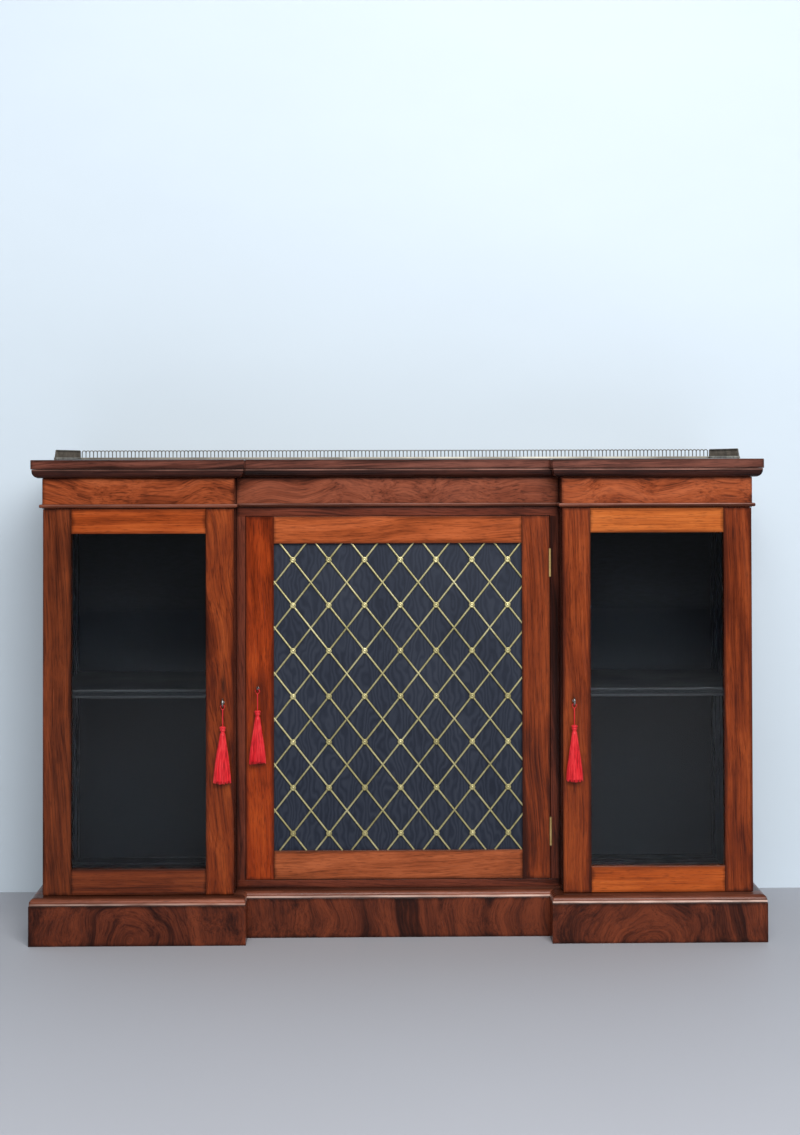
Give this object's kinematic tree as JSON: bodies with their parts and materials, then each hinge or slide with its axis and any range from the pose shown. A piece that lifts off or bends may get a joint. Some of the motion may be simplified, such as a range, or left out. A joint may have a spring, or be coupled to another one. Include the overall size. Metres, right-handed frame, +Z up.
{
  "type": "bookcase cabinet",
  "caption": "Low inverted-breakfront bookcase with glazed wing doors, a recessed brass-trellis centre door, a pierced gallery, shelves and lockable doors.",
  "frame": {"origin": "on the floor, under the middle of the cabinet's bounding box", "axes": "+X to the viewer's right along the front, +Y from the doors towards the back, +Z up"},
  "size_m": [1.546, 0.411, 1.0355],
  "materials": {
    "rosewood_dark": "polished rosewood, dark",
    "rosewood_door": "polished rosewood",
    "rosewood_centre": "polished rosewood, red",
    "ebonised": "ebonised, satin",
    "brass": "aged brass",
    "gilt_brass": "pale gilt brass",
    "steel": "worn steel",
    "glass": "clear",
    "moire_silk": "moire silk on a board",
    "red_silk": "floss silk"
  },
  "bodies": {
    "case": {"top_board": "rosewood_dark", "cornice_board": "rosewood_dark", "bead_moulding": "rosewood_dark", "base_board": "rosewood_dark", "plinth": "rosewood_dark", "frieze_left": "rosewood_door", "frieze_centre": "rosewood_door", "frieze_right": "rosewood_door", "side_left": "rosewood_dark", "side_right": "rosewood_dark", "partition_left": "rosewood_dark", "partition_right": "rosewood_dark", "centre_face_frame": "rosewood_dark", "backboard": "ebonised", "shelf_left": "ebonised", "shelf_centre": "ebonised", "shelf_right": "ebonised", "gallery_back": "brass", "gallery_left": "brass", "gallery_right": "brass", "left_door_upper_hinge_fixed_leaf": "brass", "left_door_lower_hinge_fixed_leaf": "brass", "right_door_upper_hinge_fixed_leaf": "brass", "right_door_lower_hinge_fixed_leaf": "brass", "centre_door_upper_hinge_fixed_leaf": "brass", "centre_door_lower_hinge_fixed_leaf": "brass"},
    "left_door": {"left_door_hinge_stile": "rosewood_door", "left_door_lock_stile": "rosewood_door", "left_door_top_rail": "rosewood_door", "left_door_bottom_rail": "rosewood_door", "left_door_glass": "glass", "left_door_lock_case": "brass", "left_door_upper_hinge_door_leaf": "brass", "left_door_lower_hinge_door_leaf": "brass"},
    "right_door": {"right_door_hinge_stile": "rosewood_door", "right_door_lock_stile": "rosewood_door", "right_door_top_rail": "rosewood_door", "right_door_bottom_rail": "rosewood_door", "right_door_glass": "glass", "right_door_lock_case": "brass", "right_door_upper_hinge_door_leaf": "brass", "right_door_lower_hinge_door_leaf": "brass"},
    "centre_door": {"centre_door_hinge_stile": "rosewood_centre", "centre_door_lock_stile": "rosewood_centre", "centre_door_top_rail": "rosewood_centre", "centre_door_bottom_rail": "rosewood_centre", "centre_door_trellis": "gilt_brass", "centre_door_silk_panel": "moire_silk", "centre_door_lock_case": "brass", "centre_door_upper_hinge_door_leaf": "brass", "centre_door_lower_hinge_door_leaf": "brass"},
    "left_key": {"left_door_key": "steel"},
    "right_key": {"right_door_key": "steel"},
    "centre_key": {"centre_door_key": "steel"},
    "left_bolt": {"left_door_bolt": "steel"},
    "right_bolt": {"right_door_bolt": "steel"},
    "centre_bolt": {"centre_door_bolt": "steel"},
    "left_tassel": {"left_door_tassel": "red_silk"},
    "right_tassel": {"right_door_tassel": "red_silk"},
    "centre_tassel": {"centre_door_tassel": "red_silk"}
  },
  "joints": [
    {"name": "left_door_swing", "type": "hinge", "parent": "case", "child": "left_door", "pos_m": [-0.7475, -0.15735, 0.5], "axis": [0, 0, -1], "range_deg": [0, 110]},
    {"name": "right_door_swing", "type": "hinge", "parent": "case", "child": "right_door", "pos_m": [0.7475, -0.15735, 0.5], "axis": [0, 0, 1], "range_deg": [0, 110]},
    {"name": "centre_door_swing", "type": "hinge", "parent": "case", "child": "centre_door", "pos_m": [0.3257, -0.1185, 0.5], "axis": [0, 0, 1], "range_deg": [0, 100]},
    {"name": "left_key_turn", "type": "hinge", "parent": "left_door", "child": "left_key", "pos_m": [-0.369, -0.1795, 0.504], "axis": [0, 1, 0], "range_deg": [0, 90]},
    {"name": "right_key_turn", "type": "hinge", "parent": "right_door", "child": "right_key", "pos_m": [0.369, -0.1795, 0.504], "axis": [0, 1, 0], "range_deg": [0, 90]},
    {"name": "centre_key_turn", "type": "hinge", "parent": "centre_door", "child": "centre_key", "pos_m": [-0.2998, -0.1185, 0.526], "axis": [0, 1, 0], "range_deg": [0, 90]},
    {"name": "left_bolt_slide", "type": "slide", "parent": "left_door", "child": "left_bolt", "axis": [1, 0, 0], "range_m": [0, 0.008]},
    {"name": "right_bolt_slide", "type": "slide", "parent": "right_door", "child": "right_bolt", "axis": [-1, 0, 0], "range_m": [0, 0.008]},
    {"name": "centre_bolt_slide", "type": "slide", "parent": "centre_door", "child": "centre_bolt", "axis": [-1, 0, 0], "range_m": [0, 0.008]},
    {"name": "left_tassel_lift", "type": "slide", "parent": "left_door", "child": "left_tassel", "axis": [-0.7071, 0, 0.7071], "range_m": [0, 0.01108]},
    {"name": "right_tassel_lift", "type": "slide", "parent": "right_door", "child": "right_tassel", "axis": [-0.7071, 0, 0.7071], "range_m": [0, 0.01108]},
    {"name": "centre_tassel_lift", "type": "slide", "parent": "centre_door", "child": "centre_tassel", "axis": [-0.7071, 0, 0.7071], "range_m": [0, 0.00684]}
  ],
  "couplings": [
    {"joint": "left_key_turn", "follows": "left_bolt_slide", "rad_per_m": 196.3},
    {"joint": "right_key_turn", "follows": "right_bolt_slide", "rad_per_m": 196.3},
    {"joint": "centre_key_turn", "follows": "centre_bolt_slide", "rad_per_m": 196.3},
    {"joint": "left_tassel_lift", "follows": "left_bolt_slide", "ratio": 1.3788},
    {"joint": "right_tassel_lift", "follows": "right_bolt_slide", "ratio": 1.3788},
    {"joint": "centre_tassel_lift", "follows": "centre_bolt_slide", "ratio": 0.8485}
  ]
}
